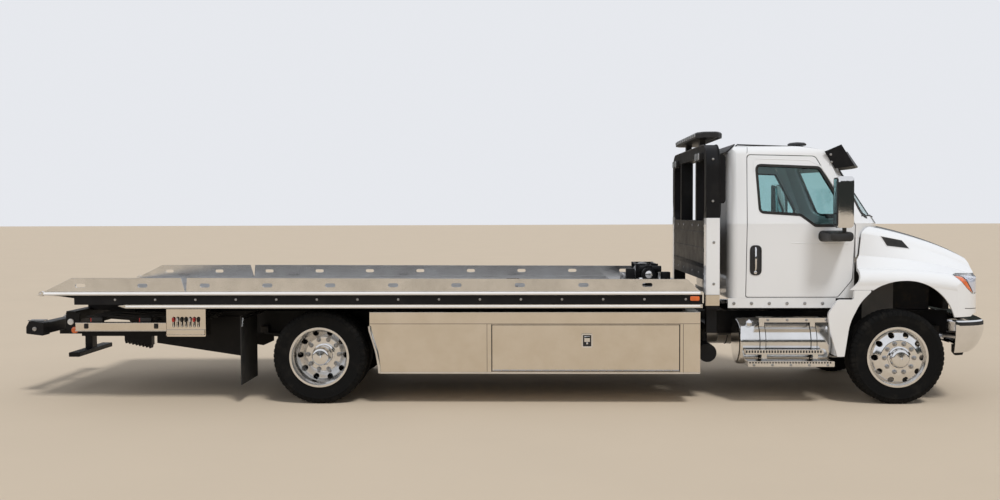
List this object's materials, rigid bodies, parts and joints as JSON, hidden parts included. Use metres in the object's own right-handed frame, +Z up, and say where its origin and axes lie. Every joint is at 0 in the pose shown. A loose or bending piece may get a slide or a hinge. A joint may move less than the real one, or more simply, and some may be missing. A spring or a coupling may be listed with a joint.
{
  "type": "flatbed tow truck",
  "caption": "Rollback flatbed tow truck with day cab, tilting sliding deck, winch, side toolboxes, headboard and stowed rear wheel lift.",
  "frame": {"origin": "on the ground under the middle of the truck's bounding box", "axes": "+X forward, +Y to the truck's left, +Z up"},
  "size_m": [9.9335, 2.7, 2.715],
  "materials": {
    "white_paint": "gloss",
    "black_paint": "satin",
    "polished": "polished",
    "stainless": "polished",
    "chrome": "polished",
    "tyre": "matte",
    "rubber": "matte",
    "plastic": "matte",
    "trim": "matte",
    "fabric": "matte",
    "glass": "gloss",
    "lens": "gloss",
    "iron": "rough",
    "steel": "satin"
  },
  "bodies": {
    "chassis": {"frame_rails": "black_paint", "cross_members": "black_paint", "front_axle": "iron", "rear_axle": "iron", "engine": "iron", "drive_line": "iron", "exhaust": "steel", "fuel_tanks": "polished", "cab_steps": "polished", "sill_plates": "white_paint", "front_bumper": "chrome", "cab_shell": "white_paint", "cab_glass": "glass", "dashboard": "trim", "seats": "fabric", "sun_visor": "black_paint", "fender_extensions": "white_paint", "mud_flaps": "rubber", "toolboxes": "stainless", "headboard": "black_paint", "light_bar": "plastic", "hydraulic_tank": "black_paint", "control_panels": "stainless", "control_levers": "plastic", "chassis_brackets": "black_paint"},
    "knuckle_left": {"knuckle_left": "iron"},
    "knuckle_right": {"knuckle_right": "iron"},
    "tie_rod": {"tie_rod": "iron"},
    "front_wheel_left": {"front_tyre_left": "tyre", "front_rim_left": "polished"},
    "front_wheel_right": {"front_tyre_right": "tyre", "front_rim_right": "polished"},
    "rear_wheels_left": {"rear_tyres_left": "tyre", "rear_rims_left": "polished"},
    "rear_wheels_right": {"rear_tyres_right": "tyre", "rear_rims_right": "polished"},
    "door_left": {"door_left": "white_paint", "door_glass_left": "glass", "mirror_left": "chrome"},
    "door_right": {"door_right": "white_paint", "door_glass_right": "glass", "mirror_right": "chrome"},
    "hood": {"hood": "white_paint", "grille": "plastic", "headlamps": "lens"},
    "toolbox_door_left": {"toolbox_door_left": "stainless"},
    "toolbox_door_right": {"toolbox_door_right": "stainless"},
    "subframe": {"subframe": "black_paint", "slide_cylinder": "black_paint"},
    "deck": {"deck_floor": "steel", "deck_frame": "black_paint", "side_rails": "polished", "slide_rod": "chrome", "winch": "black_paint"},
    "winch_drum": {"winch_drum": "steel"},
    "lift_boom": {"wheel_lift_boom": "black_paint"},
    "lift_tube": {"wheel_lift_tube": "black_paint"},
    "lift_crossbar": {"wheel_lift_crossbar": "black_paint"},
    "tilt_barrels": {"tilt_barrels": "black_paint"},
    "tilt_rods": {"tilt_rods": "chrome"}
  },
  "joints": [
    {"name": "steer_left", "type": "hinge", "parent": "chassis", "child": "knuckle_left", "pos_m": [3.915, 0.86, 0.465], "axis": [0, 0, 1], "range_deg": [-35, 35]},
    {"name": "steer_right", "type": "hinge", "parent": "chassis", "child": "knuckle_right", "pos_m": [3.915, -0.86, 0.465], "axis": [0, 0, 1], "range_deg": [-35, 35]},
    {"name": "tie_rod_slide", "type": "slide", "parent": "chassis", "child": "tie_rod", "axis": [0, 1, 0], "range_m": [-0.105, 0.105]},
    {"name": "front_wheel_left_spin", "type": "hinge", "parent": "knuckle_left", "child": "front_wheel_left", "pos_m": [3.915, 1.05, 0.465], "axis": [0, 1, 0], "continuous": true},
    {"name": "front_wheel_right_spin", "type": "hinge", "parent": "knuckle_right", "child": "front_wheel_right", "pos_m": [3.915, -1.05, 0.465], "axis": [0, 1, 0], "continuous": true},
    {"name": "rear_wheels_left_spin", "type": "hinge", "parent": "chassis", "child": "rear_wheels_left", "pos_m": [-1.795, 0.93, 0.465], "axis": [0, 1, 0], "continuous": true},
    {"name": "rear_wheels_right_spin", "type": "hinge", "parent": "chassis", "child": "rear_wheels_right", "pos_m": [-1.795, -0.93, 0.465], "axis": [0, 1, 0], "continuous": true},
    {"name": "door_left_hinge", "type": "hinge", "parent": "chassis", "child": "door_left", "pos_m": [3.517, 1.001, 1.4], "axis": [0, 0, -1], "range_deg": [0, 65]},
    {"name": "door_right_hinge", "type": "hinge", "parent": "chassis", "child": "door_right", "pos_m": [3.517, -1.001, 1.4], "axis": [0, 0, 1], "range_deg": [0, 65]},
    {"name": "hood_tilt", "type": "hinge", "parent": "chassis", "child": "hood", "pos_m": [4.805, 0, 0.6], "axis": [0, 1, 0], "range_deg": [0, 74]},
    {"name": "toolbox_door_left_hinge", "type": "hinge", "parent": "chassis", "child": "toolbox_door_left", "pos_m": [0.85, 1.22, 0.342], "axis": [-1, 0, 0], "range_deg": [0, 95]},
    {"name": "toolbox_door_right_hinge", "type": "hinge", "parent": "chassis", "child": "toolbox_door_right", "pos_m": [0.85, -1.22, 0.342], "axis": [1, 0, 0], "range_deg": [0, 95]},
    {"name": "bed_tilt", "type": "hinge", "parent": "chassis", "child": "subframe", "pos_m": [-3.995, 0, 0.83], "axis": [0, -1, 0], "range_deg": [0, 15]},
    {"name": "deck_slide", "type": "slide", "parent": "subframe", "child": "deck", "axis": [-1, 0, 0], "range_m": [0, 3.55]},
    {"name": "winch_drum_spin", "type": "hinge", "parent": "deck", "child": "winch_drum", "pos_m": [1.565, 0, 1.24], "axis": [0, 1, 0], "continuous": true},
    {"name": "wheel_lift_tilt", "type": "hinge", "parent": "subframe", "child": "lift_boom", "pos_m": [-3.845, 0, 0.62], "axis": [0, -1, 0], "range_deg": [0, 10]},
    {"name": "wheel_lift_extend", "type": "slide", "parent": "lift_boom", "child": "lift_tube", "axis": [-1, 0, 0], "range_m": [0, 0.55]},
    {"name": "crossbar_swivel", "type": "hinge", "parent": "lift_tube", "child": "lift_crossbar", "pos_m": [-4.875, 0, 0.69], "axis": [0, 0, 1], "range_deg": [-20, 20]},
    {"name": "cylinder_swing", "type": "hinge", "parent": "chassis", "child": "tilt_barrels", "pos_m": [0.805, 0, 0.6], "axis": [0, 1, 0], "range_deg": [0, 31.28]},
    {"name": "cylinder_stroke", "type": "slide", "parent": "tilt_barrels", "child": "tilt_rods", "axis": [-0.9632, 0, 0.2688], "range_m": [0, 0.6508]}
  ],
  "couplings": [
    {"joint": "steer_right", "follows": "steer_left", "ratio": 1},
    {"joint": "tie_rod_slide", "follows": "steer_left", "m_per_rad": -0.17},
    {"joint": "cylinder_swing", "follows": "bed_tilt", "ratio": 2.0653},
    {"joint": "cylinder_stroke", "follows": "bed_tilt", "m_per_rad": 2.4708}
  ]
}
